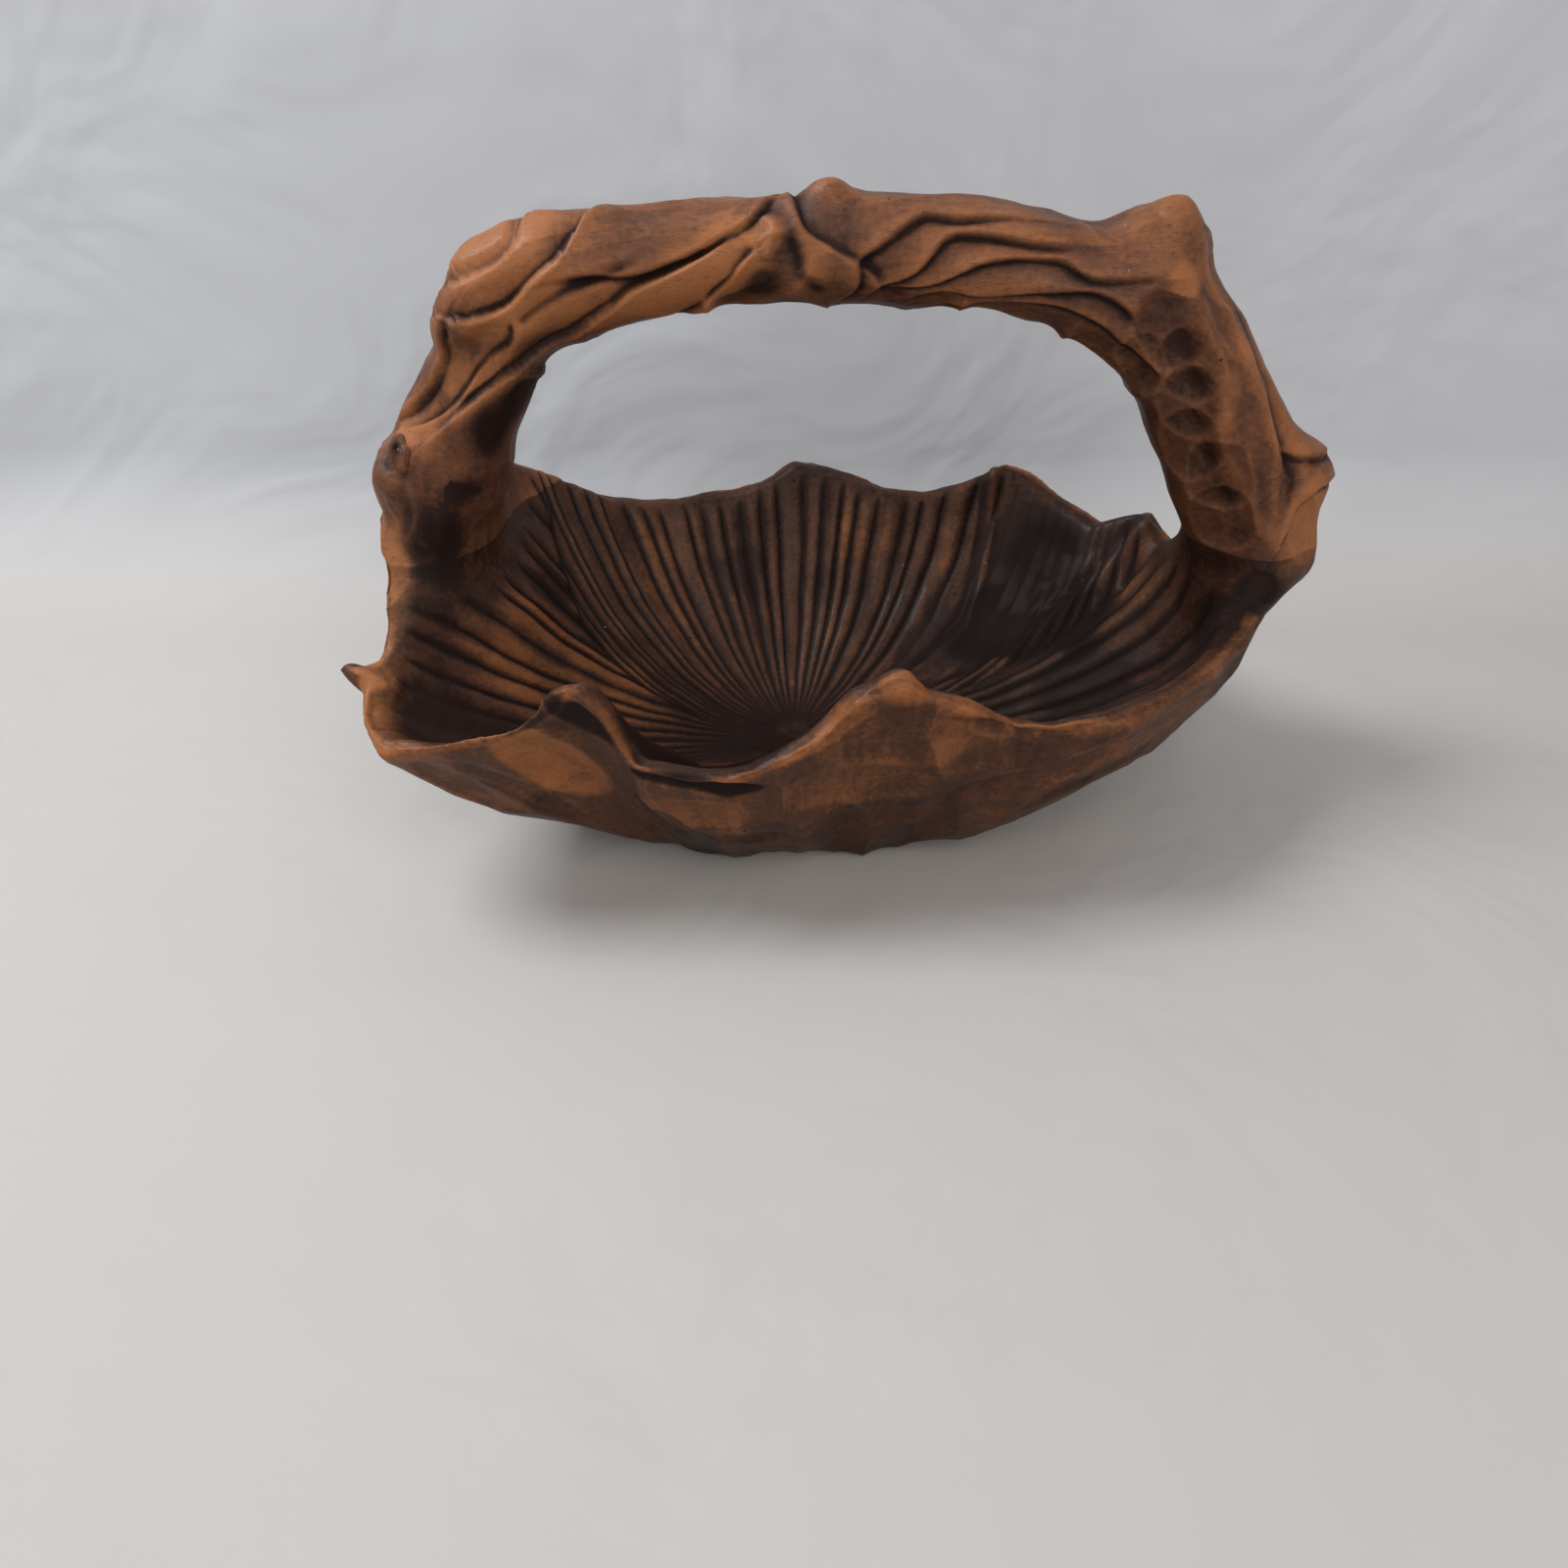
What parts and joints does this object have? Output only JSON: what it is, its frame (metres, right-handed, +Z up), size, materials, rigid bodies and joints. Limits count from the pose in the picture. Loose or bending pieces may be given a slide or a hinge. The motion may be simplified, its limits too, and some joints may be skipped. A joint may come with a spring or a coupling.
{
  "type": "carved wooden bowl",
  "caption": "Free-form carved wooden fruit bowl with a ribbed leaf-shaped inside and an arched branch-like carrying handle.",
  "frame": {"origin": "on the flat underside, below the point where the bowl's ribs meet", "axes": "+Z up, X along the bowl under the handle, -Y towards the front rim with the two leaf points"},
  "size_m": [0.4148, 0.2308, 0.2643],
  "materials": {
    "bowl_wood": "satin",
    "handle_wood": "satin",
    "knot_wood": "satin"
  },
  "bodies": {
    "root": {"bowl_floor": "bowl_wood", "leaf_back_left": "bowl_wood", "leaf_back_right": "bowl_wood", "leaf_right": "bowl_wood", "leaf_front_right": "bowl_wood", "leaf_front_left": "bowl_wood", "leaf_left": "bowl_wood", "handle_left_leg": "handle_wood", "left_elbow_burl": "handle_wood", "handle_left_branch": "handle_wood", "crown_bud": "handle_wood", "handle_right_branch": "handle_wood", "right_elbow_burl": "handle_wood", "handle_right_leg": "handle_wood", "left_knot": "knot_wood", "right_knot": "knot_wood", "twig_stub": "bowl_wood"}
  },
  "joints": []
}
